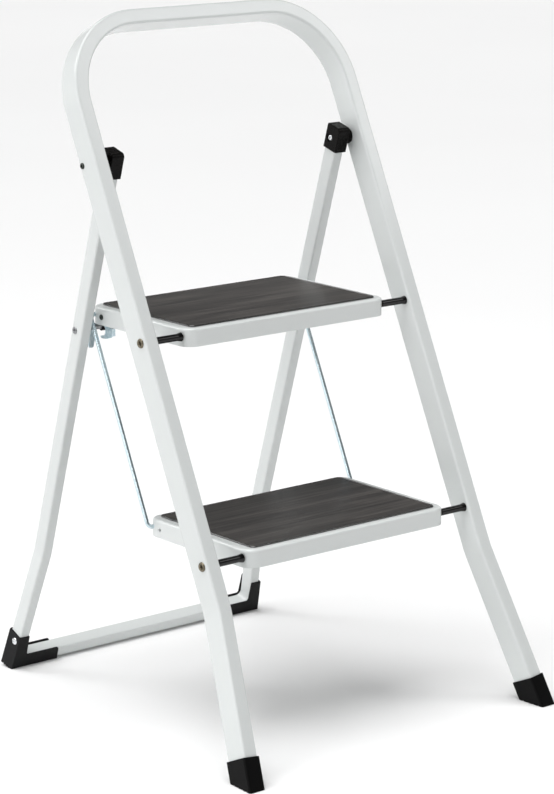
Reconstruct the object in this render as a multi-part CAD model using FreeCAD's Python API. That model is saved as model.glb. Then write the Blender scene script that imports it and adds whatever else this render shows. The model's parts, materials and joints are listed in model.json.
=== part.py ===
"""Two-step folding step stool with a handrail loop.

Units are millimetres.  +Z is up, +X is the left-to-right direction of the steps
and the climber faces +Y.  The origin lies on the floor at the centre of the
footprint of the open stool.
"""
import FreeCAD, Part
import math
import os

V = FreeCAD.Vector
AXIS_X = V(1, 0, 0)
SIDES = {"left": -1, "right": 1}

# ---- whole stool -------------------------------------------------------------
FOOTPRINT_DEPTH = 534.9     # front edge of the boots to back edge of the guards
FRONT_LEAN = 25.0           # front frame leans back from the vertical, degrees
REAR_LEAN = 17.0            # rear frame leans forward from the vertical, degrees
ROUND = 1.0                 # small edge rounding on plastic parts

# ---- front frame: one bent tube, legs and handrail in one ----------------------
FRONT_TUBE_WIDTH = 18.2     # across the stool
FRONT_TUBE_DEPTH = 32.2     # square to the plane of the frame
FRONT_TUBE_CORNER = 3.0
TUBE_WALL = 1.2
FRONT_LEG_X = 195.7         # centre of the parallel part of each leg
FRONT_FOOT_X = 219.2        # centre of each leg where it meets the floor
FRONT_KINK = 192.4          # distance up the leg to the outward kink
FRONT_KINK_RADIUS = 120.0
FRONT_LENGTH = 874.7        # floor to the centre of the handrail, along the frame
HANDRAIL_RADIUS = 96.0      # centre-line radius of the two handrail corners
FRONT_OVERRUN = 20.0        # drawn past the floor, then trimmed level

# ---- boots on the front legs ---------------------------------------------------
BOOT_WALL = 1.7
BOOT_SOLE = 4.0
BOOT_LENGTH = 30.2          # up the leg
BOOT_GROOVES = 4
GROOVE_DEPTH = 1.2
GROOVE_WIDTH = 2.0

# ---- rear frame: one U-shaped tube, legs and floor bar in one ------------------
REAR_TUBE_WIDTH = 13.8      # across the leg, in the plane of the frame
REAR_TUBE_DEPTH = 19.6      # square to the plane of the frame
REAR_TUBE_CORNER = 2.2
REAR_LEG_X = 167.4
REAR_FOOT_X = 185.3
REAR_KINK = 159.8
REAR_KINK_RADIUS = 100.0
REAR_BAR_HEIGHT = 11.6      # floor bar centre above the floor, along the frame
REAR_CORNER_RADIUS = 13.5

# ---- rear corner guards ----------------------------------------------------------
GUARD_WALL = 1.6
GUARD_TOP = 47.5            # mean height of the leg part, along the frame
GUARD_TOP_SLANT = 1.2       # the outer wall rises by this much to the back
GUARD_INNER_X = 174.0       # inner edge of the leg flanges
GUARD_BAR_X = 126.0         # inner end of the bar flanges
GUARD_BAR_TOP = 20.0
GUARD_BOTTOM = 1.2          # square to the frame; its front edge is trimmed level
GUARD_ROUND = 2.0           # corners of the side wall
GUARD_BAR_ROUND = 3.0       # corners over the floor bar
GUARD_GROOVES = 4
SCREW_UP = 38.0
SCREW_FORWARD = 3.0
SCREW_RADIUS = 1.5
SCREW_LENGTH = 12.0
SCREW_HEAD_RADIUS = 4.6
SCREW_HEAD_HEIGHT = 1.8
SCREW_HEAD_SUNK = 0.4

# ---- top hinge between the frames ------------------------------------------------
HINGE_UP = 712.9            # along the front frame
HINGE_BACK = 10.1           # behind the centre line of the front tube
HINGE_BEHIND_REAR_LEG = 1.9  # pivot behind the centre line of the rear leg
HINGE_BOLT_RADIUS = 3.0
HINGE_OUTER_HEAD_RADIUS = 4.0
HINGE_OUTER_HEAD_HEIGHT = 1.6
HINGE_INNER_HEAD_RADIUS = 3.5
HINGE_INNER_HEAD_HEIGHT = 1.6
CAP_INNER_X = 158.8
CAP_OUTER_X = 176.1
CAP_FRONT = 14.3            # extent of the cap about the pivot
CAP_BACK = 8.8
CAP_BELOW = 14.4
CAP_ABOVE = 16.3
CAP_FRONT_EDGE = 5.0        # rounding of the top edges
CAP_BACK_EDGE = 2.0
CAP_RECESS_RADIUS = 5.4
CAP_RECESS_DEPTH = 1.7
SPACER_RADIUS = 9.5

# ---- step axles ----------------------------------------------------------------
UPPER_AXLE_UP = 500.0       # along the front frame
LOWER_AXLE_UP = 243.2
AXLE_FORWARD = 7.0          # in front of the centre line of the front tube
AXLE_RADIUS = 3.0
RIVET_HEAD_RADIUS = 5.5
RIVET_HEAD_HEIGHT = 2.2
SLEEVE_RADIUS = 4.2
SLEEVE_COLLAR_RADIUS = 5.2
SLEEVE_COLLAR_LENGTH = 5.5

# ---- steps: pressed sheet trays with rubber mats --------------------------------
TRAY_WIDTH = 297.0
TRAY_DEPTH = 187.7
TRAY_HEIGHT = 21.0
TRAY_SHEET = 1.4
TRAY_CORNER = 16.0          # rounding of the upright corners
TRAY_EDGE = 3.5             # rounding of the top edge
TRAY_HEM = 8.0              # inward hem under the front and back skirts
AXLE_FROM_FRONT = 12.2
AXLE_BELOW_TOP = 9.8
MAT_INSET_FRONT = 7.4       # also at the back
MAT_INSET_SIDE = 10.9
MAT_CORNER = 7.0
MAT_THICKNESS = 1.8
MAT_EDGE = 0.6
MAT_SEAT = 0.02             # the glue line between tray and mat

# ---- link rods that carry the lower step with the upper one ----------------------
LINK_REACH = 165.3          # from the step axle back to the rod ends
LINK_X = 154.7
LINK_RADIUS = 2.5
LINK_BEND = 6.0
LINK_END_X = 138.0          # rod tips inside the skirts
CLIP_RADIUS = 4.2
CLIP_THICKNESS = 1.2
CLIP_FROM_TIP = 1.0

# ---- cross rod under the upper step ----------------------------------------------
CROSS_DOWN = 212.0          # from the top hinge, along the rear leg
CROSS_BEHIND = 1.5          # behind the line through the top hinge
CROSS_RADIUS = 3.0
CROSS_SLEEVE_GAP = 0.3      # between the sleeve and the step that rests over it
CROSS_SLEEVE_X = 137.0
CROSS_HEAD_RADIUS = 3.8
CROSS_HEAD_HEIGHT = 1.6
KEEPER_INNER_X = 140.2
KEEPER_OUTER_X = 149.4
KEEPER_DROP = 28.6
KEEPER_SHEET = 1.6
KEEPER_TIP_WIDTH = 6.0
KEEPER_TAPER = 11.0

# ---- catch under the left edge of the upper step ----------------------------------
CATCH_PIVOT_BACK = 151.7    # from the step axle
CATCH_PIVOT_DROP = 1.5
CATCH_PIVOT_RADIUS = 2.4
CATCH_BOSS_RADIUS = 5.4
CATCH_SHEET = 2.2
CATCH_HEAD_RADIUS = 3.3
CATCH_HEAD_HEIGHT = 1.2
CATCH_TAB_REACH = 4.6
CATCH_TAB_HEIGHT = 8.4
CATCH_TAB_AHEAD = 18.0      # front face of the tab, in front of the pivot
CATCH_TAB_DROP = 20.4       # underside of the tab, below the pivot

# ---- fits ---------------------------------------------------------------------
RUNNING = 0.06              # radial clearance of a part that turns on a pin
SIDE_GAP = 0.5              # sideways clearance between turning parts
HEAD_GAP = 0.2              # between a rivet head and the part that turns under it
HEAD_DOME = 0.7             # share of a rivet head's height that is rounded
FAR = 400.0                 # longer than any part that it cuts

front_floor_y = (-FOOTPRINT_DEPTH / 2
                 + (FRONT_TUBE_DEPTH / 2 + BOOT_WALL) / math.cos(math.radians(FRONT_LEAN)))
FRONT_PLACE = FreeCAD.Placement(V(0, front_floor_y, 0),
                                FreeCAD.Rotation(AXIS_X, -FRONT_LEAN))
front_inner_x = FRONT_LEG_X - FRONT_TUBE_WIDTH / 2
front_outer_x = FRONT_LEG_X + FRONT_TUBE_WIDTH / 2
rear_outer_x = REAR_LEG_X + REAR_TUBE_WIDTH / 2

hinge = FRONT_PLACE.multVec(V(0, HINGE_BACK, HINGE_UP))
upper_axle = FRONT_PLACE.multVec(V(0, -AXLE_FORWARD, UPPER_AXLE_UP))
lower_axle = FRONT_PLACE.multVec(V(0, -AXLE_FORWARD, LOWER_AXLE_UP))

# The rear frame hangs from the hinge; its own frame starts where it meets the floor.
rear_lean = math.radians(REAR_LEAN)
hinge_up_rear = ((hinge.z - HINGE_BEHIND_REAR_LEG * math.sin(rear_lean))
                 / math.cos(rear_lean))
rear_floor_y = (hinge.y + hinge_up_rear * math.sin(rear_lean)
                - HINGE_BEHIND_REAR_LEG * math.cos(rear_lean))
REAR_PLACE = FreeCAD.Placement(V(0, rear_floor_y, 0), FreeCAD.Rotation(AXIS_X, REAR_LEAN))
cross_up_rear = hinge_up_rear - CROSS_DOWN
cross_back_rear = HINGE_BEHIND_REAR_LEG + CROSS_BEHIND
cross = REAR_PLACE.multVec(V(0, cross_back_rear, cross_up_rear))
upper_step_underside = upper_axle.z + AXLE_BELOW_TOP - TRAY_HEIGHT
cross_sleeve_radius = upper_step_underside - CROSS_SLEEVE_GAP - cross.z


# ---- drawing helpers -------------------------------------------------------------
def bent_wire(points, radii, closed=False):
    """Straight runs through the points; a radius rounds its corner and 0 leaves it sharp."""
    count = len(points)
    corners = [i for i in range(count) if radii[i] > 0]
    starts = {}
    ends = {}
    middles = {}
    for i in corners:
        back = (points[i - 1] - points[i]).normalize()
        ahead = (points[(i + 1) % count] - points[i]).normalize()
        half = back.getAngle(ahead) / 2
        reach = radii[i] / math.tan(half)
        bisector = (back + ahead).normalize()
        centre = points[i] + bisector * (radii[i] / math.sin(half))
        starts[i] = points[i] + back * reach
        ends[i] = points[i] + ahead * reach
        middles[i] = centre - bisector * radii[i]
    edges = []
    for i in range(count if closed else count - 1):
        following = (i + 1) % count
        run_start = ends.get(i, points[i])
        run_end = starts.get(following, points[following])
        edges.append(Part.makeLine(run_start, run_end))
        if following in starts:
            arc = Part.Arc(starts[following], middles[following], ends[following])
            edges.append(arc.toShape())
    return Part.Wire(edges)


def rounded_rectangle(width, depth, radius):
    """A rounded rectangle in the XY plane about the origin."""
    x = width / 2
    y = depth / 2
    corners = [V(-x, -y, 0), V(x, -y, 0), V(x, y, 0), V(-x, y, 0)]
    return bent_wire(corners, [radius] * 4, closed=True)


def sweep(path, width, depth, radius):
    """A solid bar of rounded-rectangle section along a path in the XZ plane."""
    start = path.Edges[0].Vertexes[0].Point
    direction = path.Edges[0].tangentAt(path.Edges[0].FirstParameter)
    profile = rounded_rectangle(width, depth, radius)
    turn = FreeCAD.Rotation(V(0, 0, 1), direction)
    profile.Placement = FreeCAD.Placement(start, turn)
    return path.makePipeShell([profile], True, False)


def cylinder_x(centre, radius, x_from, x_to):
    """A cylinder parallel to X through the centre's Y and Z."""
    low = min(x_from, x_to)
    return Part.makeCylinder(radius, abs(x_to - x_from), V(low, centre.y, centre.z), AXIS_X)


def rivet_head(centre, radius, height, x_face, outward):
    """A low domed head that stands outward from a face square to X."""
    head = cylinder_x(centre, radius, x_face, x_face + outward * height)
    x_top = x_face + outward * height
    rim = [e for e in head.Edges if abs(e.CenterOfMass.x - x_top) < 0.01]
    return head.makeFillet(height * HEAD_DOME, rim)


def plate(outline, thickness, x_low):
    """A flat plate square to X, from an outline that lies in the YZ plane."""
    face = Part.Face(outline)
    face.translate(V(x_low, 0, 0))
    return face.extrude(V(thickness, 0, 0))


def below_floor(height=0.0):
    """Everything that lies under a level plane."""
    return Part.makeBox(2 * FAR, 2 * FAR, FAR, V(-FAR, -FAR, height - FAR))


def mirrored(shape):
    return shape.mirror(V(0, 0, 0), AXIS_X)


def on_side(right_hand_shape, side):
    return right_hand_shape if side == "right" else mirrored(right_hand_shape)


def export(shape, node):
    shape.exportStep("parts/%s.step" % node)


# ---- front frame -----------------------------------------------------------------
def front_path():
    flare = (FRONT_FOOT_X - FRONT_LEG_X) / FRONT_KINK
    right = [V(FRONT_FOOT_X + flare * FRONT_OVERRUN, 0, -FRONT_OVERRUN),
             V(FRONT_LEG_X, 0, FRONT_KINK),
             V(FRONT_LEG_X, 0, FRONT_LENGTH)]
    left = [V(-p.x, 0, p.z) for p in reversed(right)]
    radii = [0, FRONT_KINK_RADIUS, HANDRAIL_RADIUS, HANDRAIL_RADIUS, FRONT_KINK_RADIUS, 0]
    return bent_wire(right + left, radii)


def front_tube_filled(grow=0.0):
    bar = sweep(front_path(), FRONT_TUBE_WIDTH + grow, FRONT_TUBE_DEPTH + grow,
                FRONT_TUBE_CORNER + grow / 2)
    bar.Placement = FRONT_PLACE.multiply(bar.Placement)
    return bar


def front_frame_tube(filled):
    tube = filled.cut(front_tube_filled(-2 * TUBE_WALL))
    tube = tube.cut(below_floor(BOOT_SOLE))
    for axle in (upper_axle, lower_axle):
        tube = tube.cut(cylinder_x(axle, AXLE_RADIUS, -FAR, FAR))
    return tube.cut(cylinder_x(hinge, HINGE_BOLT_RADIUS, -FAR, FAR))


def front_foot(filled):
    flare = (FRONT_FOOT_X - FRONT_LEG_X) / FRONT_KINK
    direction = V(-flare, 0, 1).normalize()
    floor_point = V(FRONT_FOOT_X, 0, 0)
    path = Part.Wire([Part.makeLine(floor_point - direction * FRONT_OVERRUN,
                                    floor_point + direction * BOOT_LENGTH)])
    boot = sweep(path, FRONT_TUBE_WIDTH + 2 * BOOT_WALL, FRONT_TUBE_DEPTH + 2 * BOOT_WALL,
                 FRONT_TUBE_CORNER)
    boot.Placement = FRONT_PLACE.multiply(boot.Placement)
    boot = boot.cut(below_floor())
    boot = boot.cut(filled.cut(below_floor(BOOT_SOLE)))
    pitch = FRONT_TUBE_DEPTH / BOOT_GROOVES
    for i in range(BOOT_GROOVES):
        y = front_floor_y + (i - (BOOT_GROOVES - 1) / 2) * pitch
        groove = Part.makeBox(FAR, GROOVE_WIDTH, GROOVE_DEPTH, V(0, y - GROOVE_WIDTH / 2, 0))
        boot = boot.cut(groove)
    return boot


def step_axle(centre):
    axle = cylinder_x(centre, AXLE_RADIUS, -front_outer_x, front_outer_x)
    for sign in SIDES.values():
        head = rivet_head(centre, RIVET_HEAD_RADIUS, RIVET_HEAD_HEIGHT,
                          sign * front_outer_x, sign)
        axle = axle.fuse(head)
    return axle.removeSplitter()


def axle_sleeve(centre, side):
    """A spacer tube between the step and a front leg; its collar faces +X on both sides."""
    step_end = TRAY_WIDTH / 2 + SIDE_GAP
    ends = {"left": (-front_inner_x, -step_end), "right": (step_end, front_inner_x)}
    low, high = ends[side]
    tube = cylinder_x(centre, SLEEVE_RADIUS, low, high)
    collar_start = V(high - SLEEVE_COLLAR_LENGTH, centre.y, centre.z)
    collar = Part.makeCone(SLEEVE_RADIUS, SLEEVE_COLLAR_RADIUS, SLEEVE_COLLAR_LENGTH,
                           collar_start, AXIS_X)
    bore = cylinder_x(centre, AXLE_RADIUS + RUNNING, low, high)
    return tube.fuse(collar).removeSplitter().cut(bore)


def hinge_bolt():
    """The right-hand bolt of the top hinge, with a head at each end."""
    inner_face = CAP_INNER_X + CAP_RECESS_DEPTH - HEAD_GAP
    shank = cylinder_x(hinge, HINGE_BOLT_RADIUS, inner_face, front_outer_x)
    outer_head = rivet_head(hinge, HINGE_OUTER_HEAD_RADIUS, HINGE_OUTER_HEAD_HEIGHT,
                            front_outer_x, 1)
    inner_head = rivet_head(hinge, HINGE_INNER_HEAD_RADIUS, HINGE_INNER_HEAD_HEIGHT,
                            inner_face, -1)
    return shank.fuse([outer_head, inner_head]).removeSplitter()


def hinge_spacer():
    x_from = CAP_OUTER_X + SIDE_GAP
    disc = cylinder_x(hinge, SPACER_RADIUS, x_from, front_inner_x)
    rim = [e for e in disc.Edges if abs(e.CenterOfMass.x - x_from) < 0.01]
    disc = disc.makeFillet(ROUND, rim)
    return disc.cut(cylinder_x(hinge, HINGE_BOLT_RADIUS, x_from, front_inner_x))


# ---- rear frame --------------------------------------------------------------------
def rear_path():
    flare = (REAR_FOOT_X - REAR_LEG_X) / REAR_KINK
    corner = V(REAR_FOOT_X - flare * REAR_BAR_HEIGHT, 0, REAR_BAR_HEIGHT)
    right = [V(REAR_LEG_X, 0, hinge_up_rear + CAP_ABOVE - CAP_FRONT_EDGE),
             V(REAR_LEG_X, 0, REAR_KINK),
             corner]
    left = [V(-p.x, 0, p.z) for p in reversed(right)]
    radii = [0, REAR_KINK_RADIUS, REAR_CORNER_RADIUS, REAR_CORNER_RADIUS, REAR_KINK_RADIUS, 0]
    return bent_wire(right + left, radii)


def rear_tube_filled(grow=0.0):
    bar = sweep(rear_path(), REAR_TUBE_WIDTH + grow, REAR_TUBE_DEPTH + grow,
                REAR_TUBE_CORNER + grow / 2)
    bar.Placement = REAR_PLACE.multiply(bar.Placement)
    return bar


def screw_centre():
    return REAR_PLACE.multVec(V(0, -SCREW_FORWARD, SCREW_UP))


def guard_outer_x(up):
    """Outer face of the guard at a height along the rear frame."""
    flare = (REAR_FOOT_X - REAR_LEG_X) / REAR_KINK
    return REAR_FOOT_X - flare * up + REAR_TUBE_WIDTH / 2 + GUARD_WALL


def rear_frame_tube(filled):
    tube = filled.cut(rear_tube_filled(-2 * TUBE_WALL))
    tube = tube.cut(cylinder_x(hinge, HINGE_BOLT_RADIUS + RUNNING, -FAR, FAR))
    tube = tube.cut(cylinder_x(cross, CROSS_RADIUS, -FAR, FAR))
    screw_tip = guard_outer_x(SCREW_UP) - SCREW_LENGTH
    for sign in SIDES.values():
        tube = tube.cut(cylinder_x(screw_centre(), SCREW_RADIUS, sign * screw_tip, sign * FAR))
    return tube


def rear_foot(filled):
    """The right-hand corner guard: a channel open towards the inside of the frame."""
    top = GUARD_TOP + GUARD_TOP_SLANT
    outline = [V(guard_outer_x(GUARD_BOTTOM), 0, GUARD_BOTTOM), V(guard_outer_x(top), 0, top),
               V(GUARD_INNER_X, 0, top), V(GUARD_INNER_X, 0, GUARD_BAR_TOP),
               V(GUARD_BAR_X, 0, GUARD_BAR_TOP), V(GUARD_BAR_X, 0, GUARD_BOTTOM)]
    radii = [0, GUARD_ROUND, GUARD_ROUND, GUARD_BAR_ROUND, GUARD_BAR_ROUND, 0]
    half_depth = REAR_TUBE_DEPTH / 2 + GUARD_WALL
    block = Part.Face(bent_wire(outline, radii, closed=True))
    block.translate(V(0, -half_depth, 0))
    block = block.extrude(V(0, 2 * half_depth, 0))

    seat = REAR_BAR_HEIGHT - REAR_TUBE_WIDTH / 2
    channel = [V(guard_outer_x(seat) - GUARD_WALL, 0, seat),
               V(guard_outer_x(FAR) - GUARD_WALL, 0, FAR), V(0, 0, FAR), V(0, 0, seat)]
    hollow = Part.Face(Part.makePolygon(channel + channel[:1]))
    hollow.translate(V(0, -REAR_TUBE_DEPTH / 2, 0))
    hollow = hollow.extrude(V(0, REAR_TUBE_DEPTH, 0))
    guard = block.cut(hollow)

    slant = math.atan2(GUARD_TOP_SLANT, half_depth)
    above = Part.makeBox(FAR, FAR, FAR, V(0, -FAR / 2, 0))
    above.rotate(V(0, 0, 0), AXIS_X, math.degrees(slant))
    above.translate(V(0, 0, GUARD_TOP))
    guard = guard.cut(above)
    pitch = 2 * half_depth / (GUARD_GROOVES + 1)
    for i in range(GUARD_GROOVES):
        y = (i + 1) * pitch - half_depth - GROOVE_WIDTH / 2
        groove = Part.makeBox(FAR, GROOVE_WIDTH, GROOVE_DEPTH, V(0, y, GUARD_BOTTOM))
        guard = guard.cut(groove)
    guard.Placement = REAR_PLACE.multiply(guard.Placement)
    guard = guard.cut(below_floor()).cut(filled)
    seat_face = guard_outer_x(SCREW_UP) - SCREW_HEAD_SUNK
    guard = guard.cut(cylinder_x(screw_centre(), SCREW_HEAD_RADIUS, seat_face, FAR))
    return guard.cut(cylinder_x(screw_centre(), SCREW_RADIUS, 0, FAR))


def rear_foot_screw():
    face = guard_outer_x(SCREW_UP)
    shank = cylinder_x(screw_centre(), SCREW_RADIUS, face - SCREW_LENGTH, face)
    head = rivet_head(screw_centre(), SCREW_HEAD_RADIUS, SCREW_HEAD_HEIGHT,
                      face - SCREW_HEAD_SUNK, 1)
    return shank.fuse(head).removeSplitter()


def hinge_cap(filled):
    """The right-hand plastic cap over the top end of the rear leg."""
    depth = CAP_FRONT + CAP_BACK
    height = CAP_BELOW + CAP_ABOVE
    low = V(CAP_INNER_X, HINGE_BEHIND_REAR_LEG - CAP_FRONT, hinge_up_rear - CAP_BELOW)
    cap = Part.makeBox(CAP_OUTER_X - CAP_INNER_X, depth, height, low)
    top = hinge_up_rear + CAP_ABOVE
    for radius, y_edge in ((CAP_FRONT_EDGE, low.y), (CAP_BACK_EDGE, low.y + depth)):
        crown = [e for e in cap.Edges if abs(e.CenterOfMass.z - top) < 0.01
                 and abs(e.CenterOfMass.y - y_edge) < 0.01]
        cap = cap.makeFillet(radius, crown)
    upright = [e for e in cap.Edges if e.BoundBox.ZLength > height / 2]
    cap = cap.makeFillet(ROUND, upright)
    cap.Placement = REAR_PLACE.multiply(cap.Placement)
    cap = cap.cut(filled)
    recess = cylinder_x(hinge, CAP_RECESS_RADIUS, CAP_INNER_X, CAP_INNER_X + CAP_RECESS_DEPTH)
    bore = cylinder_x(hinge, HINGE_BOLT_RADIUS + RUNNING, CAP_INNER_X, CAP_OUTER_X)
    return cap.cut(recess).cut(bore)


def rear_cross_rod():
    rod = cylinder_x(cross, CROSS_RADIUS, -rear_outer_x, rear_outer_x)
    for sign in SIDES.values():
        head = rivet_head(cross, CROSS_HEAD_RADIUS, CROSS_HEAD_HEIGHT,
                          sign * rear_outer_x, sign)
        rod = rod.fuse(head)
    return rod.removeSplitter()


def cross_rod_sleeve():
    sleeve = cylinder_x(cross, cross_sleeve_radius, -CROSS_SLEEVE_X, CROSS_SLEEVE_X)
    return sleeve.cut(cylinder_x(cross, CROSS_RADIUS + RUNNING, -FAR, FAR))


def catch_keeper_plate():
    """A strap fixed behind the left end of the cross rod, with a tapered tail."""
    top = cross_up_rear + CROSS_RADIUS
    tail = cross_up_rear - KEEPER_DROP
    back = cross_back_rear + CROSS_RADIUS
    outline = [V(-KEEPER_OUTER_X, back, top), V(-KEEPER_INNER_X, back, top),
               V(-KEEPER_INNER_X, back, tail),
               V(-KEEPER_INNER_X - KEEPER_TIP_WIDTH, back, tail),
               V(-KEEPER_OUTER_X, back, tail + KEEPER_TAPER)]
    face = Part.Face(bent_wire(outline, [ROUND] * len(outline), closed=True))
    strap = face.extrude(V(0, KEEPER_SHEET, 0))
    strap.Placement = REAR_PLACE.multiply(strap.Placement)
    return strap


# ---- steps ------------------------------------------------------------------------
def tray_block(inset, drop, edge):
    """The rounded block that fills a tray, shrunk by the sheet thickness or not."""
    outline = rounded_rectangle(TRAY_WIDTH - 2 * inset, TRAY_DEPTH - 2 * inset,
                                TRAY_CORNER - inset)
    block = Part.Face(outline).extrude(V(0, 0, -TRAY_HEIGHT))
    rim = [e for e in block.Edges if abs(e.BoundBox.ZMin) < 0.01 and abs(e.BoundBox.ZMax) < 0.01]
    block = block.makeFillet(edge, rim)
    block.translate(V(0, TRAY_DEPTH / 2, -drop))
    return block


def tray_corner(axle):
    """The middle of the front top edge of the step on this axle."""
    return V(0, axle.y - AXLE_FROM_FRONT, axle.z + AXLE_BELOW_TOP)


def step_tray(axle):
    tray = tray_block(0, 0, TRAY_EDGE)
    tray = tray.cut(tray_block(TRAY_SHEET, TRAY_SHEET, TRAY_EDGE - TRAY_SHEET))
    hem_length = TRAY_WIDTH - 2 * TRAY_CORNER
    for y in (0.0, TRAY_DEPTH - TRAY_HEM):
        hem = Part.makeBox(hem_length, TRAY_HEM, TRAY_SHEET, V(-hem_length / 2, y, -TRAY_HEIGHT))
        tray = tray.fuse(hem)
    tray = tray.removeSplitter()
    tray.translate(tray_corner(axle))
    tray = tray.cut(cylinder_x(axle, AXLE_RADIUS + RUNNING, -FAR, FAR))
    tray = tray.cut(cylinder_x(link_end(axle), LINK_RADIUS + RUNNING, -FAR, FAR))
    return tray.cut(cylinder_x(catch_pivot(axle), CATCH_PIVOT_RADIUS, -FAR, FAR))


def step_mat(axle):
    outline = rounded_rectangle(TRAY_WIDTH - 2 * MAT_INSET_SIDE,
                                TRAY_DEPTH - 2 * MAT_INSET_FRONT, MAT_CORNER)
    mat = Part.Face(outline).extrude(V(0, 0, MAT_THICKNESS))
    rim = [e for e in mat.Edges if abs(e.BoundBox.ZMin - MAT_THICKNESS) < 0.01]
    mat = mat.makeFillet(MAT_EDGE, rim)
    mat.translate(tray_corner(axle) + V(0, TRAY_DEPTH / 2, MAT_SEAT))
    return mat


# ---- link rods --------------------------------------------------------------------
def link_end(axle):
    return V(0, axle.y + LINK_REACH, axle.z)


def link_rod():
    """The right-hand rod, bent inwards at both ends."""
    top = link_end(upper_axle)
    bottom = link_end(lower_axle)
    points = [V(LINK_END_X, top.y, top.z), V(LINK_X, top.y, top.z),
              V(LINK_X, bottom.y, bottom.z), V(LINK_END_X, bottom.y, bottom.z)]
    path = bent_wire(points, [0, LINK_BEND, LINK_BEND, 0])
    profile = Part.Wire([Part.makeCircle(LINK_RADIUS, points[0], AXIS_X)])
    return path.makePipeShell([profile], True, False)


def link_rod_clips():
    """Push-on clips that hold the tips of the right-hand rod inside the skirts."""
    clips = []
    for axle in (upper_axle, lower_axle):
        centre = link_end(axle)
        x = LINK_END_X + CLIP_FROM_TIP
        clip = cylinder_x(centre, CLIP_RADIUS, x, x + CLIP_THICKNESS)
        clips.append(clip.cut(cylinder_x(centre, LINK_RADIUS, x, x + CLIP_THICKNESS)))
    return Part.makeCompound(clips)


# ---- catch --------------------------------------------------------------------------
def catch_pivot(axle):
    return V(0, axle.y + CATCH_PIVOT_BACK, axle.z - CATCH_PIVOT_DROP)


def catch_inner_face_x():
    """The catch swings just inside the left skirt."""
    return -TRAY_WIDTH / 2 + TRAY_SHEET + SIDE_GAP


def catch_lever():
    """A hooked plate whose jaw stands in front of the cross rod, with a finger tab."""
    pivot = catch_pivot(upper_axle)
    outline = [(4.0, -4.0), (-4.5, -4.0), (-11.0, -11.0), (-18.0, -11.6), (-18.0, -20.2),
               (-14.0, -22.6), (-7.0, -24.8), (0.0, -25.5), (4.8, -25.0), (5.2, -22.8), (-2.4, -21.2),
               (-4.6, -18.0), (-4.2, -12.5)]
    points = [V(0, pivot.y + back, pivot.z + up) for back, up in outline]
    rounding = [0.5, 0.5, 3.0, 1.0, 1.5, 3.0, 6.0, 4.0, 0.8, 0.8, 2.0, 2.0, 2.5]
    x = catch_inner_face_x()
    hook = plate(bent_wire(points, rounding, closed=True), CATCH_SHEET, x)
    boss = cylinder_x(pivot, CATCH_BOSS_RADIUS, x, x + CATCH_SHEET)
    tab = Part.makeBox(CATCH_TAB_REACH, CATCH_SHEET, CATCH_TAB_HEIGHT,
                       V(x, pivot.y - CATCH_TAB_AHEAD, pivot.z - CATCH_TAB_DROP))
    lever = hook.fuse([boss, tab]).removeSplitter()
    return lever.cut(cylinder_x(pivot, CATCH_PIVOT_RADIUS + RUNNING, -FAR, FAR))


def catch_rivet():
    pivot = catch_pivot(upper_axle)
    outer = -TRAY_WIDTH / 2
    inner = catch_inner_face_x() + CATCH_SHEET + HEAD_GAP
    shank = cylinder_x(pivot, CATCH_PIVOT_RADIUS, outer, inner)
    head = rivet_head(pivot, CATCH_HEAD_RADIUS, CATCH_HEAD_HEIGHT, outer, -1)
    tail = rivet_head(pivot, CATCH_HEAD_RADIUS, CATCH_HEAD_HEIGHT, inner, 1)
    return shank.fuse([head, tail]).removeSplitter()


# ---- the assembly ---------------------------------------------------------------------
def build():
    os.makedirs("parts", exist_ok=True)
    front_filled = front_tube_filled()
    rear_filled = rear_tube_filled()
    export(front_frame_tube(front_filled), "front_frame_tube")
    export(rear_frame_tube(rear_filled), "rear_frame_tube")

    right_hand = {
        "front_foot": front_foot(front_filled),
        "hinge_bolt": hinge_bolt(),
        "hinge_spacer": hinge_spacer(),
        "hinge_cap": hinge_cap(rear_filled),
        "rear_foot": rear_foot(rear_filled),
        "link_rod": link_rod(),
        "link_rod_clips": link_rod_clips(),
    }
    for name, shape in right_hand.items():
        for side in SIDES:
            export(on_side(shape, side), "%s_%s" % (name, side))

    screws = [on_side(rear_foot_screw(), side) for side in SIDES]
    export(Part.makeCompound(screws), "rear_foot_screws")
    export(rear_cross_rod(), "rear_cross_rod")
    export(cross_rod_sleeve(), "cross_rod_sleeve")
    export(catch_keeper_plate(), "catch_keeper_plate")
    export(catch_lever(), "catch_lever")
    export(catch_rivet(), "catch_rivet")
    for level, axle in {"upper": upper_axle, "lower": lower_axle}.items():
        export(step_axle(axle), level + "_step_axle")
        export(step_tray(axle), level + "_step_tray")
        export(step_mat(axle), level + "_step_mat")
        for side in SIDES:
            export(axle_sleeve(axle, side), "%s_axle_sleeve_%s" % (level, side))


build()
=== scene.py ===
import json
import math

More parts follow.
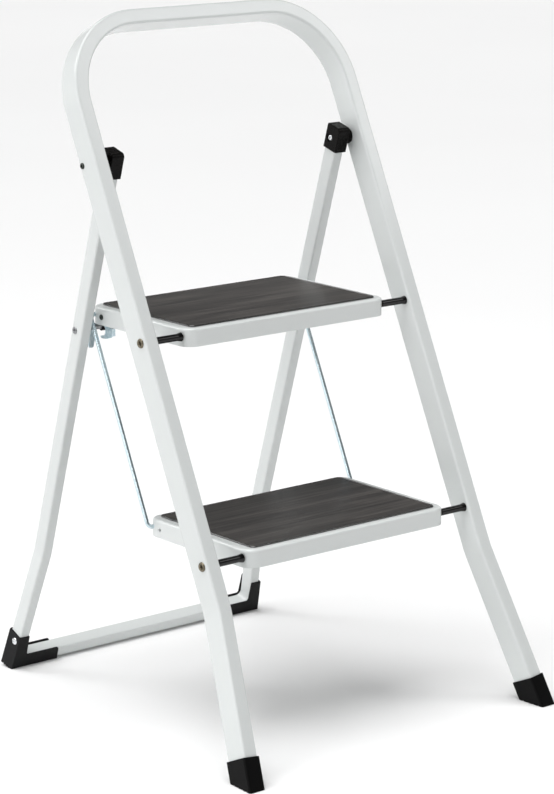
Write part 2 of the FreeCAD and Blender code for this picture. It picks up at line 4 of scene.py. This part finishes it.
import bmesh
import bpy
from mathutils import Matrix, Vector


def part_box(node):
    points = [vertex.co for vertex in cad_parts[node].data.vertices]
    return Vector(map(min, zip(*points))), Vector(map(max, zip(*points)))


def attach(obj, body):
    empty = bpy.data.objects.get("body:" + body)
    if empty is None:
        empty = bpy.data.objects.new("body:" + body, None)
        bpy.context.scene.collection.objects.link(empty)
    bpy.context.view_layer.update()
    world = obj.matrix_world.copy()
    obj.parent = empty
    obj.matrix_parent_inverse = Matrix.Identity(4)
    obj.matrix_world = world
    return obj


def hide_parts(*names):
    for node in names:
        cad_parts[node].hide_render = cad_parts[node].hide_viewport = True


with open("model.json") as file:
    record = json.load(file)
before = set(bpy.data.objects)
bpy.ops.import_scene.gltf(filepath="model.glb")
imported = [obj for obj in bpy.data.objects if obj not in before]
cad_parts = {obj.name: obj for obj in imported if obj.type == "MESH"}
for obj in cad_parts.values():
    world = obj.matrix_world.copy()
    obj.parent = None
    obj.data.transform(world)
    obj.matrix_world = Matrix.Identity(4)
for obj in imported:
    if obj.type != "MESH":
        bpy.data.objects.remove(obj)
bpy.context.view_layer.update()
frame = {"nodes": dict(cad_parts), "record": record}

NODES = frame["nodes"]
SLOTS = {part["node"]: part["material_slot"] for part in frame["record"]["subparts"]}
SIDES = (("left", -1), ("right", 1))        # name, and sign of X

# ---- camera, from the CAD frame ------------------------------------------------------
CAMERA_AZIMUTH = -39.35     # degrees; 0 looks along +Y
CAMERA_ELEVATION = 13.15
CAMERA_DISTANCE = 3.3124
CAMERA_TARGET = Vector((0.0148, -0.0130, 0.3574))
CAMERA_LENS = 128.3         # millimetres, as is the sensor's width
CAMERA_SENSOR = 36.0
CAMERA_CLIP_END = 100.0


# ---- looks ---------------------------------------------------------------------------
def material(name, build):
    """A new node material whose Principled shader build() sets up."""
    made = bpy.data.materials.new(name)
    made.use_nodes = True
    tree = made.node_tree
    build(tree, tree.nodes["Principled BSDF"])
    return made


def noise(tree, scale, detail=4.0, stretch=(1, 1, 1)):
    """Noise over the object's own coordinates, in metres."""
    where = tree.nodes.new("ShaderNodeTexCoord")
    mapping = tree.nodes.new("ShaderNodeMapping")
    mapping.inputs["Scale"].default_value = stretch
    tree.links.new(where.outputs["Object"], mapping.inputs["Vector"])
    made = tree.nodes.new("ShaderNodeTexNoise")
    made.inputs["Scale"].default_value = scale
    made.inputs["Detail"].default_value = detail
    tree.links.new(mapping.outputs["Vector"], made.inputs["Vector"])
    return made.outputs["Fac"]


def ramp(tree, value, stops):
    """Colour picked by a value, from (position, colour) stops in rising order."""
    made = tree.nodes.new("ShaderNodeValToRGB")
    made.color_ramp.elements[0].position = stops[0][0]
    made.color_ramp.elements[0].color = (*stops[0][1], 1)
    made.color_ramp.elements[1].position = stops[-1][0]
    made.color_ramp.elements[1].color = (*stops[-1][1], 1)
    for position, colour in stops[1:-1]:
        made.color_ramp.elements.new(position).color = (*colour, 1)
    tree.links.new(value, made.inputs["Fac"])
    return made.outputs["Color"]


def spread(tree, value, low, high):
    """A value between 0 and 1 stretched to run from low to high."""
    made = tree.nodes.new("ShaderNodeMapRange")
    made.inputs["To Min"].default_value = low
    made.inputs["To Max"].default_value = high
    tree.links.new(value, made.inputs["Value"])
    return made.outputs["Result"]


def bump(tree, shader, height, distance):
    """Relief on the shader's normal, distance metres deep."""
    made = tree.nodes.new("ShaderNodeBump")
    made.inputs["Strength"].default_value = 1.0
    made.inputs["Distance"].default_value = distance
    tree.links.new(height, made.inputs["Height"])
    tree.links.new(made.outputs["Normal"], shader.inputs["Normal"])


def powder_coat(tree, shader):
    """Glossy white paint with a slight drift in tone."""
    drift = noise(tree, 6.0, 1.0)
    colour = ramp(tree, drift, [(0.2, (0.672, 0.698, 0.692)), (0.8, (0.688, 0.711, 0.706))])
    tree.links.new(colour, shader.inputs["Base Color"])
    tree.links.new(spread(tree, noise(tree, 12.0, 1.0), 0.14, 0.17), shader.inputs["Roughness"])
    bump(tree, shader, noise(tree, 260.0, 1.0), 0.000006)


def rubber_mat(tree, shader):
    """Dark rubber with long soft streaks along the step."""
    broad = noise(tree, 30.0, 3.0, (0.10, 1, 1))
    fine = noise(tree, 210.0, 3.0, (0.05, 1, 1))
    both = tree.nodes.new("ShaderNodeMix")
    both.inputs["Factor"].default_value = 0.55
    tree.links.new(broad, both.inputs["A"])
    tree.links.new(fine, both.inputs["B"])
    streaks = both.outputs["Result"]
    colour = ramp(tree, streaks, [(0.36, (0.016, 0.0145, 0.0135)), (0.50, (0.042, 0.038, 0.035)),
                                  (0.64, (0.084, 0.077, 0.071))])
    tree.links.new(colour, shader.inputs["Base Color"])
    tree.links.new(spread(tree, streaks, 0.34, 0.50), shader.inputs["Roughness"])
    shader.inputs["Specular IOR Level"].default_value = 0.35
    bump(tree, shader, fine, 0.0002)


def moulded(dark, light, rough_low, rough_high, specular):
    """Black moulded plastic or rubber with a faint grain."""
    def build(tree, shader):
        colour = ramp(tree, noise(tree, 40.0), [(0.3, dark), (0.7, light)])
        tree.links.new(colour, shader.inputs["Base Color"])
        tree.links.new(spread(tree, noise(tree, 200.0), rough_low, rough_high),
                       shader.inputs["Roughness"])
        shader.inputs["Specular IOR Level"].default_value = specular
        bump(tree, shader, noise(tree, 900.0, 2.0), 0.00002)
    return build


def metal(dark, light, rough_low, rough_high):
    """Plated steel with a mottled tone."""
    def build(tree, shader):
        shader.inputs["Metallic"].default_value = 1.0
        colour = ramp(tree, noise(tree, 400.0), [(0.3, dark), (0.7, light)])
        tree.links.new(colour, shader.inputs["Base Color"])
        tree.links.new(spread(tree, noise(tree, 700.0), rough_low, rough_high),
                       shader.inputs["Roughness"])
    return build


def floor_paper(tree, shader):
    """Matt white studio paper."""
    colour = ramp(tree, noise(tree, 0.7, 2.0),
                  [(0.3, (0.915, 0.915, 0.915)), (0.7, (0.93, 0.93, 0.93))])
    tree.links.new(colour, shader.inputs["Base Color"])
    shader.inputs["Roughness"].default_value = 0.9
    shader.inputs["Specular IOR Level"].default_value = 0.2


MATERIALS = {
    "white_paint": material("white_paint_coat", powder_coat),
    "step_mat": material("step_mat_rubber", rubber_mat),
    "foot_plastic": material("foot_black_plastic",
                             moulded((0.0070, 0.0070, 0.0076), (0.0110, 0.0110, 0.0118),
                                     0.45, 0.60, 0.14)),
    "black_plastic": material("black_satin_plastic",
                              moulded((0.0020, 0.0017, 0.0016), (0.0040, 0.0033, 0.0031),
                                      0.22, 0.32, 0.09)),
    "rivet_metal": material("rivet_brass",
                            metal((0.12, 0.105, 0.075), (0.24, 0.21, 0.155), 0.24, 0.36)),
    "bright_screw": material("bright_zinc",
                             metal((0.66, 0.68, 0.70), (0.84, 0.86, 0.87), 0.18, 0.30)),
    "zinc_plate": material("blue_zinc",
                           metal((0.56, 0.68, 0.74), (0.70, 0.80, 0.84), 0.16, 0.26)),
}
# looks of single pieces that differ from the rest of their slot
BOOT_BLACK = material("boot_black_rubber",
                      moulded((0.0016, 0.0016, 0.0017), (0.0026, 0.0026, 0.0028),
                              0.42, 0.55, 0.09))
GLOSS_BLACK = material("sleeve_gloss_black",
                       moulded((0.0016, 0.0014, 0.0014), (0.0028, 0.0024, 0.0024),
                               0.10, 0.14, 0.35))
BEAD_BLACK = material("mat_bead_rubber",
                      moulded((0.0060, 0.0052, 0.0048), (0.0100, 0.0088, 0.0082),
                              0.12, 0.18, 1.0))
GREY_ZINC = material("grey_zinc", metal((0.22, 0.225, 0.23), (0.40, 0.41, 0.42), 0.22, 0.34))
PLATE_ZINC = material("plate_zinc", metal((0.46, 0.60, 0.66), (0.74, 0.83, 0.87), 0.32, 0.46))
DARK_STEEL = material("dark_plated_steel",
                      metal((0.035, 0.04, 0.036), (0.10, 0.11, 0.10), 0.25, 0.4))
OWN_LOOK = {
    "upper_axle_sleeve_left": GLOSS_BLACK, "upper_axle_sleeve_right": GLOSS_BLACK,
    "lower_axle_sleeve_left": GLOSS_BLACK, "lower_axle_sleeve_right": GLOSS_BLACK,
    "catch_rivet": DARK_STEEL, "catch_lever": PLATE_ZINC, "catch_keeper_plate": PLATE_ZINC,
}
for cad_node, cad_slot in SLOTS.items():
    for holder in NODES[cad_node].material_slots:
        holder.material = OWN_LOOK.get(cad_node, MATERIALS[cad_slot])


# ---- building meshes -----------------------------------------------------------------
MERGE_DISTANCE = 1e-6
# angles between faces, in degrees
FLAT_ANGLE = 2              # faces that meet flatter than this become one
ROUNDED_ANGLE = 32          # sharper edges of a CAD copy are rounded
SHADING_ANGLE = 35          # flatter edges are shaded smooth
CAD_SHADING_ANGLE = 45
BEAD_SHADING_ANGLE = 60
LATHE_STEPS = 40
CORNER_STEPS = 10
SMALLEST_CORNER = 0.0008


def add_piece(name, data, slot_name, body, nodes, shading_angle, look, flat_faces=False):
    """Shows a mesh in place of some CAD nodes and lets it move with their body."""
    data.materials.append(look or MATERIALS[slot_name])
    data.set_sharp_from_angle(angle=math.radians(shading_angle))
    for face in data.polygons:
        face.use_smooth = True
    made = bpy.data.objects.new(name, data)
    bpy.context.scene.collection.objects.link(made)
    if flat_faces:
        made.modifiers.new("flat_faces", "WEIGHTED_NORMAL").keep_sharp = True
    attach(made, body)
    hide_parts(*nodes)


def mesh_piece(name, points, faces, slot_name, body, nodes,
               shading_angle=SHADING_ANGLE, look=None):
    """A piece made from points and faces, with its normals turned outward."""
    data = bpy.data.meshes.new(name)
    data.from_pydata(points, [], faces)
    work = bmesh.new()
    work.from_mesh(data)
    bmesh.ops.recalc_face_normals(work, faces=work.faces)
    work.to_mesh(data)
    work.free()
    add_piece(name, data, slot_name, body, nodes, shading_angle, look)


def softened(node, body, width, look=None):
    """A copy of a CAD piece with its sharp edges rounded, to catch the light."""
    source = NODES[node]
    data = source.data.copy()
    data.transform(source.matrix_world)
    work = bmesh.new()
    work.from_mesh(data)
    bmesh.ops.remove_doubles(work, verts=work.verts, dist=MERGE_DISTANCE)
    bmesh.ops.dissolve_limit(work, angle_limit=math.radians(FLAT_ANGLE),
                             verts=work.verts, edges=work.edges)
    sharp = [edge for edge in work.edges if edge.is_manifold
             and edge.calc_face_angle() > math.radians(ROUNDED_ANGLE)]
    bmesh.ops.bevel(work, geom=sharp, offset=width, segments=2, profile=0.5, affect="EDGES",
                    clamp_overlap=True)
    bmesh.ops.recalc_face_normals(work, faces=work.faces)
    work.to_mesh(data)
    work.free()
    data.materials.clear()
    add_piece(node + "_softened", data, SLOTS[node], body, [node], CAD_SHADING_ANGLE, look,
              flat_faces=True)


def stacked_rings(rings, looped=False):
    """Faces between rings of equal length, closed by end faces or by joining last to first."""
    count = len(rings[0])
    points = [p for ring in rings for p in ring]
    faces = []
    for level in range(len(rings) if looped else len(rings) - 1):
        low = level * count
        high = (level + 1) % len(rings) * count
        for i in range(count):
            j = (i + 1) % count
            faces.append((low + i, low + j, high + j, high + i))
    if not looped:
        faces.append(tuple(reversed(range(count))))
        faces.append(tuple(range((len(rings) - 1) * count, len(rings) * count)))
    return points, faces


def rounded_outline(low, high, inset, radius, z):
    """Points round a rounded rectangle at one height."""
    left, front = low.x + inset, low.y + inset
    right, back = high.x - inset, high.y - inset
    turn = max(radius - inset, SMALLEST_CORNER)
    corners = [(right - turn, back - turn, 0), (left + turn, back - turn, 90),
               (left + turn, front + turn, 180), (right - turn, front + turn, 270)]
    ring = []
    for x, y, start in corners:
        for step in range(CORNER_STEPS + 1):
            angle = math.radians(start + 90 * step / CORNER_STEPS)
            ring.append((x + turn * math.cos(angle), y + turn * math.sin(angle), z))
    return ring


def lathe_x(rings, centre):
    """Rings about an axis parallel to X, from (x, radius, lobes, depth of the lobes)."""
    made = []
    for x, radius, lobes, depth in rings:
        ring = []
        for i in range(LATHE_STEPS):
            angle = 2 * math.pi * i / LATHE_STEPS
            reach = radius * (1 + depth * math.cos(lobes * angle))
            ring.append((x, centre.y + reach * math.cos(angle),
                         centre.z + reach * math.sin(angle)))
        made.append(ring)
    return made


def turned(name, rings, node, body, slot_name, look=None, centre_node=None):
    """A piece about an axis parallel to X through the middle of its node, or of another."""
    low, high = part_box(centre_node or node)
    points, faces = stacked_rings(lathe_x(rings, (low + high) / 2))
    mesh_piece(name, points, faces, slot_name, body, [node], look=look)


def outward(face_x, side, profile, lobes=0, depth=0.0, lobed_rings=0):
    """Profile points as rings; the first ones take the lobes of a driver recess."""
    return [(face_x + side * out, radius, lobes, depth if i < lobed_rings else 0.0)
            for i, (out, radius) in enumerate(profile)]


def shank(x, radius):
    """A plain round ring, where a head meets its shank."""
    return [(x, radius, 0, 0)]


def headed_rod(face, head, shank_radius):
    """Rings of a rod from -face to face with a head beyond each end."""
    right = outward(face, 1, head) + shank(face, shank_radius)
    left = outward(-face, -1, head) + shank(-face, shank_radius)
    return left + right[::-1]


# ---- step mats -----------------------------------------------------------------------
MAT_CORNER = 0.007
# inset from the mat's edge and share of its thickness
MAT_BEAD = [(0.0003, 0.0), (0.0, 0.10), (0.0, 0.56), (0.0001, 0.64), (0.0006, 0.95),
            (0.0009, 1.0), (0.0012, 1.0), (0.0015, 0.98), (0.0018, 0.90), (0.0019, 0.50),
            (0.0019, 0.0)]
MAT_SHEET = [(0.0019, 0.0), (0.0019, 0.76), (0.0021, 0.82), (0.0029, 0.84)]


def step_mat(level):
    """The rubber sheet and the glossy bead moulded round it."""
    node = level + "_step_mat"
    low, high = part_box(node)

    def outlines(profile):
        return [rounded_outline(low, high, inset, MAT_CORNER, low.z + share * (high.z - low.z))
                for inset, share in profile]

    points, faces = stacked_rings(outlines(MAT_SHEET))
    mesh_piece(level + "_mat_sheet", points, faces, "step_mat", level + "_step", [node])
    points, faces = stacked_rings(outlines(MAT_BEAD), looped=True)
    mesh_piece(level + "_mat_bead", points, faces, "step_mat", level + "_step", [node],
               BEAD_SHADING_ANGLE, BEAD_BLACK)


# ---- rivets, screws and bolts ----------------------------------------------------------
# Each profile runs from the middle of a head to its rim, as distance outward from the face
# that the head is measured from, and radius.
HOLLOW_HEAD = [(-0.0016, 0.0002), (-0.0016, 0.0017), (0.0010, 0.0023), (0.0019, 0.0031),
               (0.0021, 0.0038), (0.0018, 0.0046), (0.0010, 0.0053), (0.0002, 0.0055),
               (0.0, 0.0054)]
AXLE_HEAD_HEIGHT = 0.0022
AXLE_SHANK_RADIUS = 0.0030

ROD_HEAD_HEIGHT = 0.0016
ROD_HEAD_FLATTER = 0.73     # against the axles' head
ROD_HEAD_SMALLER = 0.78
ROD_SHANK_RADIUS = 0.0030

CROSS_HEAD = [(0.0002, 0.0002), (0.0002, 0.0010), (0.0012, 0.0021), (0.0015, 0.0026),
              (0.0012, 0.0036), (0.0006, 0.0043), (0.0, 0.0046), (-0.0010, 0.0040)]
CROSS_LOBES = (4, 0.45, 3)      # lobes, their depth, and how many rings have them
SCREW_HEAD_HEIGHT = 0.0015
SCREW_RADIUS = 0.0015
SCREW_LENGTH = 0.0100

BOLT_OUTER_HEAD = [(-0.0012, 0.0002), (-0.0012, 0.0016), (-0.0001, 0.0019), (0.0, 0.0024),
                   (-0.0004, 0.0031), (-0.0010, 0.0035), (-0.0016, 0.0036), (-0.0016, 0.0030)]
BOLT_INNER_HEAD = [(-0.0013, 0.0002), (-0.0013, 0.0009), (0.0, 0.0012), (0.0, 0.0024),
                   (-0.0003, 0.0030), (-0.0009, 0.0034), (-0.0013, 0.0034), (-0.0013, 0.0028)]
BOLT_LOBES = (2, -0.5, 3)
BOLT_SHANK_RADIUS = 0.0028
CAP_RECESS = [(-0.0013, 0.0020), (-0.0012, 0.0032), (-0.0012, 0.0053), (-0.0015, 0.0053)]
CAP_RECESS_DEPTH = 0.0016
CAP_RECESS_HOLE = 0.0020


def step_axle(level):
    """A step's axle with a hollow riveted head at each end."""
    node = level + "_step_axle"
    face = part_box(node)[1].x - AXLE_HEAD_HEIGHT
    turned(level + "_axle_rivet", headed_rod(face, HOLLOW_HEAD, AXLE_SHANK_RADIUS), node,
           "front_frame", "rivet_metal")


def cross_rod():
    """The rear frame's rod, with smaller heads of the same kind."""
    node = "rear_cross_rod"
    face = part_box(node)[1].x - ROD_HEAD_HEIGHT
    head = [(out * ROD_HEAD_FLATTER, radius * ROD_HEAD_SMALLER) for out, radius in HOLLOW_HEAD]
    turned("rear_cross_rod_riveted", headed_rod(face, head, ROD_SHANK_RADIUS), node,
           "rear_frame", "zinc_plate", GREY_ZINC)


def foot_screws():
    """The two guard screws, with an oval head and a cross recess."""
    node = "rear_foot_screws"
    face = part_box(node)[1].x - SCREW_HEAD_HEIGHT
    for side_name, side in SIDES:
        head = outward(side * face, side, CROSS_HEAD, *CROSS_LOBES)
        turned("rear_foot_screw_" + side_name,
               head + shank(side * (face - SCREW_LENGTH), SCREW_RADIUS), node, "rear_frame",
               "bright_screw")


def hinge_bolt(side_name, side):
    """Dark head outside with a round hole, bright head in the cap with a two-hole drive."""
    node = "hinge_bolt_" + side_name
    low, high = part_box(node)
    inner, outer = sorted((abs(low.x), abs(high.x)))
    middle = shank(side * (inner + outer) / 2, BOLT_SHANK_RADIUS)
    turned("hinge_bolt_head_out_" + side_name,
           outward(side * outer, side, BOLT_OUTER_HEAD) + middle,
           node, "front_frame", "rivet_metal", DARK_STEEL)
    turned("hinge_bolt_head_in_" + side_name,
           outward(side * inner, -side, BOLT_INNER_HEAD, *BOLT_LOBES) + middle,
           node, "front_frame", "bright_screw")
    wall = shank(side * inner + side * CAP_RECESS_DEPTH, CAP_RECESS_HOLE)
    turned("hinge_cap_recess_" + side_name, outward(side * inner, -side, CAP_RECESS) + wall,
           "hinge_cap_" + side_name, "rear_frame", "black_plastic", centre_node=node)


# ---- floor, light and camera -----------------------------------------------------------
FLOOR_SIZE = 200.0
FLOOR_DROP = 0.0003         # keeps the floor clear of the soles
AIM_HEIGHT = 0.36
# brightness of the surroundings against the height of the direction, 0 level and 1 straight up
SURROUNDINGS = [(0.0, 0.94), (0.05, 0.88), (0.15, 0.30), (0.28, 0.10), (1.0, 0.12)]


def direction(azimuth, elevation):
    """Unit vector from the stool toward a light or camera, angles in degrees."""
    a = math.radians(azimuth)
    e = math.radians(elevation)
    return Vector((math.sin(a) * math.cos(e), -math.cos(a) * math.cos(e), math.sin(e)))


def aimed(name, data, location, back):
    """Places a light or camera to look the opposite way to back."""
    made = bpy.data.objects.new(name, data)
    bpy.context.scene.collection.objects.link(made)
    made.location = location
    made.rotation_euler = (-back).to_track_quat("-Z", "Y").to_euler()
    return made


def studio():
    """The pale floor and the gradient round the scene."""
    bpy.ops.mesh.primitive_plane_add(size=FLOOR_SIZE, location=(0, 0, -FLOOR_DROP))
    floor = bpy.context.object
    floor.name = "studio_floor"
    floor.data.materials.append(material("floor_paper", floor_paper))
    world = bpy.data.worlds.new("studio_world")
    bpy.context.scene.world = world
    world.use_nodes = True
    tree = world.node_tree
    where = tree.nodes.new("ShaderNodeTexCoord")
    split = tree.nodes.new("ShaderNodeSeparateXYZ")
    tree.links.new(where.outputs["Generated"], split.inputs["Vector"])
    glow = ramp(tree, split.outputs["Z"], [(height, (level, level, level))
                                           for height, level in SURROUNDINGS])
    tree.links.new(glow, tree.nodes["Background"].inputs["Color"])


def wide_light(name, azimuth, elevation, width_deg, share):
    """A distant soft light; share is what it puts on a surface that faces it, 1 is white."""
    lamp = bpy.data.lights.new(name, "SUN")
    lamp.angle = math.radians(width_deg)
    lamp.energy = share * math.pi
    aimed(name, lamp, Vector(), direction(azimuth, elevation))


def soft_light(name, azimuth, elevation, distance, size, share, height=AIM_HEIGHT):
    """A square soft box aimed at a height; share is what it puts there, 1 is white."""
    lamp = bpy.data.lights.new(name, "AREA")
    lamp.shape = "RECTANGLE"
    lamp.size = size
    lamp.size_y = size
    lamp.energy = share * (math.pi * distance) ** 2
    back = direction(azimuth, elevation)
    aimed(name, lamp, Vector((0, 0, height)) + back * distance, back)


def camera():
    """The camera at the photo's viewing angle."""
    data = bpy.data.cameras.new("photo_camera")
    data.lens = CAMERA_LENS
    data.sensor_width = CAMERA_SENSOR
    data.clip_end = CAMERA_CLIP_END
    back = direction(CAMERA_AZIMUTH, CAMERA_ELEVATION)
    bpy.context.scene.camera = aimed("photo_camera", data,
                                     CAMERA_TARGET + back * CAMERA_DISTANCE, back)


# ---- the stool and its studio ----------------------------------------------------------
EDGE_WIDTH = 0.0005         # how far the rounding of an edge reaches over each face

for step_level in ("upper", "lower"):
    step_mat(step_level)
    step_axle(step_level)
cross_rod()
foot_screws()
for bolt_side, bolt_sign in SIDES:
    hinge_bolt(bolt_side, bolt_sign)
    softened("hinge_cap_" + bolt_side, "rear_frame", EDGE_WIDTH)
    softened("rear_foot_" + bolt_side, "rear_frame", EDGE_WIDTH)
    softened("front_foot_" + bolt_side, "front_frame", EDGE_WIDTH, BOOT_BLACK)

bpy.context.scene.view_settings.view_transform = "Standard"
studio()
wide_light("side_light", azimuth=-92, elevation=24, width_deg=40, share=0.24)
wide_light("top_light", azimuth=-105, elevation=80, width_deg=50, share=0.80)
soft_light("front_light", azimuth=-10, elevation=35, distance=1.3, size=0.6, share=0.04,
           height=0.75)
soft_light("edge_light", azimuth=-52, elevation=22, distance=3.0, size=0.5, share=0.05)
soft_light("left_rim_light", azimuth=-149, elevation=30, distance=3.0, size=0.9, share=0.18)
soft_light("right_rim_light", azimuth=51, elevation=38, distance=3.0, size=0.9, share=0.10)
camera()
